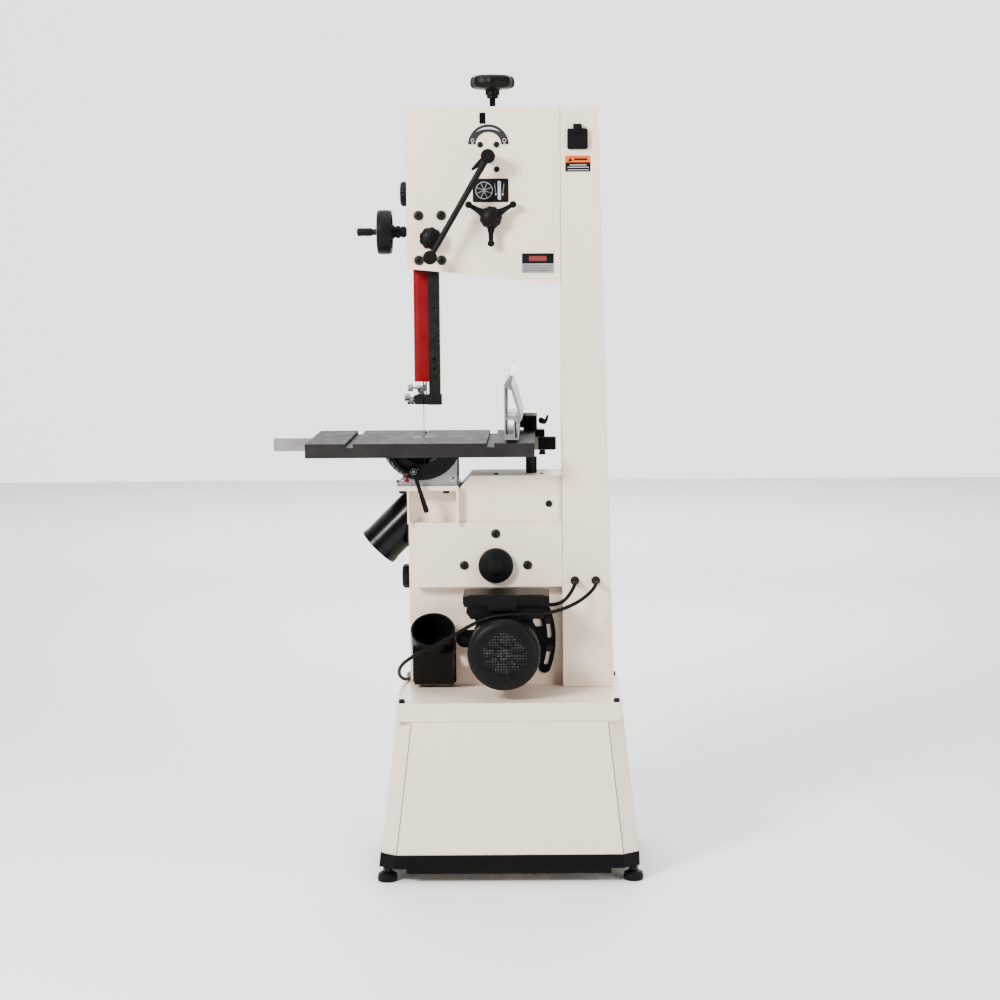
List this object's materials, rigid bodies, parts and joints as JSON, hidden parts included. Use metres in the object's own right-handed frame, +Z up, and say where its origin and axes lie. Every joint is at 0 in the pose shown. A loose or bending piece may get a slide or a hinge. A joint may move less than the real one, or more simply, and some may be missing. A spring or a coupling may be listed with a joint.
{
  "type": "band saw",
  "caption": "Floor-standing woodworking band saw: enclosed wheels on a steel column, tilting iron table with rip fence, guarded guide post, rear motor and dust ports, tapered cabinet base.",
  "frame": {"origin": "bottom centre of the machine's bounding box, without the free power cord: on the floor under the feet", "axes": "+Z up; +X towards the column, away from the blade; +Y towards the operator's side, where the two doors open; -Y the rear, with the motor"},
  "size_m": [0.933, 0.575, 1.931],
  "materials": {
    "cream_paint": "semi-gloss powder coat, warm off-white",
    "black_paint": "fine texture powder coat",
    "red_paint": "gloss",
    "black_plastic": "moulded, slight sheen",
    "gloss_black_plastic": "glossy moulded",
    "cast_iron": "ground top, oiled",
    "painted_iron": "painted casting",
    "aluminium": "extruded, satin",
    "cast_aluminium": "cast, machined faces",
    "bright_steel": "ground",
    "black_steel": "black oxide, oiled",
    "tyre_rubber": "ground rubber band",
    "belt_rubber": "moulded",
    "cord_jacket": "smooth round jacket"
  },
  "bodies": {
    "frame": {"base_top": "cream_paint", "base_cabinet": "cream_paint", "base_skirt": "black_paint", "levelling_foot_1": "black_plastic", "levelling_foot_2": "black_plastic", "levelling_foot_3": "black_plastic", "levelling_foot_4": "black_plastic", "column": "cream_paint", "upper_housing": "cream_paint", "lower_housing": "cream_paint", "lower_bearing_unit": "painted_iron", "lower_hub_cap": "gloss_black_plastic", "blade": "bright_steel", "drive_belt": "belt_rubber", "post_bracket": "painted_iron", "trunnion_support": "cast_aluminium", "lower_guide_bracket": "painted_iron", "table_stop_post": "black_steel", "motor_bracket": "black_paint", "motor_body": "black_paint", "motor_fan_cover": "black_plastic", "motor_terminal_box": "black_plastic", "lower_dust_hood": "gloss_black_plastic", "side_dust_port": "gloss_black_plastic", "power_cord_gland": "black_plastic", "motor_lead": "cord_jacket", "power_cord": "cord_jacket", "power_cord_coil": "cord_jacket", "power_plug": "black_plastic"},
    "tilting_table": {"table": "cast_iron", "table_insert": "cast_aluminium", "trunnion": "black_steel", "fence_rail": "aluminium"},
    "fence_unit": {"fence": "aluminium", "fence_head": "black_plastic"},
    "fence_lever": {"fence_lock_lever": "black_plastic"},
    "tilt_handle": {"tilt_lock_handle": "black_plastic"},
    "post_unit": {"guide_post": "black_steel", "blade_guard": "red_paint", "upper_guide_bracket": "black_steel"},
    "bearing_left": {"upper_guide_bearing_left": "bright_steel"},
    "bearing_right": {"upper_guide_bearing_right": "bright_steel"},
    "handwheel": {"post_handwheel": "black_plastic"},
    "crank_handle": {"handwheel_crank_handle": "black_plastic"},
    "post_lock": {"post_lock_knob": "black_plastic"},
    "carriage": {"wheel_carriage": "painted_iron", "tension_spring": "bright_steel"},
    "upper_wheel_unit": {"upper_wheel": "cast_aluminium", "upper_tyre": "tyre_rubber"},
    "lower_wheel_unit": {"lower_wheel": "cast_aluminium", "lower_tyre": "tyre_rubber"},
    "rotor": {"motor_rotor": "bright_steel"},
    "tension_handwheel": {"tension_knob": "black_plastic"},
    "tracking_handle": {"tracking_knob": "black_plastic"},
    "release_lever": {"quick_release_lever": "black_plastic"},
    "upper_door_unit": {"upper_door": "cream_paint"},
    "lower_door_unit": {"lower_door": "cream_paint"},
    "upper_latch": {"upper_door_latch_knob": "black_plastic"},
    "lower_latch": {"lower_door_latch_knob": "black_plastic"},
    "flap": {"outlet_flap": "black_plastic"}
  },
  "joints": [
    {"name": "table_tilt", "type": "hinge", "parent": "frame", "child": "tilting_table", "pos_m": [-0.0665, 0.0415, 1.049], "axis": [0, -1, 0], "range_deg": [0, 40]},
    {"name": "fence_slide", "type": "slide", "parent": "tilting_table", "child": "fence_unit", "axis": [1, 0, 0], "range_m": [-0.15, 0.02]},
    {"name": "fence_lock_turn", "type": "hinge", "parent": "fence_unit", "child": "fence_lever", "pos_m": [0.2255, 0.2475, 1.072], "axis": [0, 1, 0], "range_deg": [0, 60]},
    {"name": "tilt_lock_turn", "type": "hinge", "parent": "frame", "child": "tilt_handle", "pos_m": [-0.0855, -0.0915, 0.975], "axis": [0, 1, 0], "range_deg": [0, 40]},
    {"name": "guide_post_slide", "type": "slide", "parent": "frame", "child": "post_unit", "axis": [0, 0, 1], "range_m": [-0.07, 0.235]},
    {"name": "left_bearing_spin", "type": "hinge", "parent": "post_unit", "child": "bearing_left", "pos_m": [-0.0782, 0.0415, 1.146], "axis": [0, 1, 0], "continuous": true},
    {"name": "right_bearing_spin", "type": "hinge", "parent": "post_unit", "child": "bearing_right", "pos_m": [-0.0548, 0.0415, 1.146], "axis": [0, 1, 0], "continuous": true},
    {"name": "post_handwheel_turn", "type": "hinge", "parent": "frame", "child": "handwheel", "pos_m": [-0.1705, -0.0325, 1.555], "axis": [1, 0, 0], "range_deg": [-340, 1130]},
    {"name": "crank_handle_spin", "type": "hinge", "parent": "handwheel", "child": "crank_handle", "pos_m": [-0.1965, -0.0705, 1.555], "axis": [1, 0, 0], "continuous": true},
    {"name": "post_lock_turn", "type": "hinge", "parent": "frame", "child": "post_lock", "pos_m": [-0.0385, -0.0685, 1.539], "axis": [0, 1, 0], "range_deg": [0, 90]},
    {"name": "carriage_slide", "type": "slide", "parent": "frame", "child": "carriage", "axis": [0, 0, 1], "range_m": [-0.01, 0]},
    {"name": "upper_wheel_spin", "type": "hinge", "parent": "carriage", "child": "upper_wheel_unit", "pos_m": [0.1122, 0.0415, 1.652], "axis": [0, 1, 0], "continuous": true},
    {"name": "lower_wheel_spin", "type": "hinge", "parent": "frame", "child": "lower_wheel_unit", "pos_m": [0.1122, 0.0415, 0.738], "axis": [0, 1, 0], "continuous": true},
    {"name": "motor_rotor_spin", "type": "hinge", "parent": "frame", "child": "rotor", "pos_m": [0.1335, 0.0415, 0.547], "axis": [0, 1, 0], "continuous": true},
    {"name": "tension_knob_turn", "type": "hinge", "parent": "frame", "child": "tension_handwheel", "pos_m": [0.1125, -0.0135, 1.9], "axis": [0, 0, 1], "continuous": true},
    {"name": "tracking_knob_turn", "type": "hinge", "parent": "frame", "child": "tracking_handle", "pos_m": [0.1075, -0.0685, 1.588], "axis": [0, 1, 0], "continuous": true},
    {"name": "quick_release_turn", "type": "hinge", "parent": "frame", "child": "release_lever", "pos_m": [0.1025, -0.1085, 1.733], "axis": [0, 1, 0], "range_deg": [0, 120]},
    {"name": "upper_door_swing", "type": "hinge", "parent": "frame", "child": "upper_door_unit", "pos_m": [0.3615, 0.1235, 1.65], "axis": [0, 0, -1], "range_deg": [0, 110]},
    {"name": "lower_door_swing", "type": "hinge", "parent": "frame", "child": "lower_door_unit", "pos_m": [0.3725, 0.1235, 0.685], "axis": [0, 0, -1], "range_deg": [0, 110]},
    {"name": "upper_latch_turn", "type": "hinge", "parent": "upper_door_unit", "child": "upper_latch", "pos_m": [-0.1085, 0.1335, 1.65], "axis": [1, 0, 0], "range_deg": [0, 90]},
    {"name": "lower_latch_turn", "type": "hinge", "parent": "lower_door_unit", "child": "lower_latch", "pos_m": [-0.1145, 0.1335, 0.685], "axis": [1, 0, 0], "range_deg": [0, 90]},
    {"name": "outlet_flap_swing", "type": "hinge", "parent": "frame", "child": "flap", "pos_m": [0.3175, -0.068, 1.804], "axis": [-1, 0, 0], "range_deg": [0, 110]}
  ],
  "couplings": [
    {"joint": "post_handwheel_turn", "follows": "guide_post_slide", "rad_per_m": 83.333},
    {"joint": "upper_wheel_spin", "follows": "lower_wheel_spin", "ratio": 1},
    {"joint": "motor_rotor_spin", "follows": "lower_wheel_spin", "ratio": 2.8571}
  ]
}
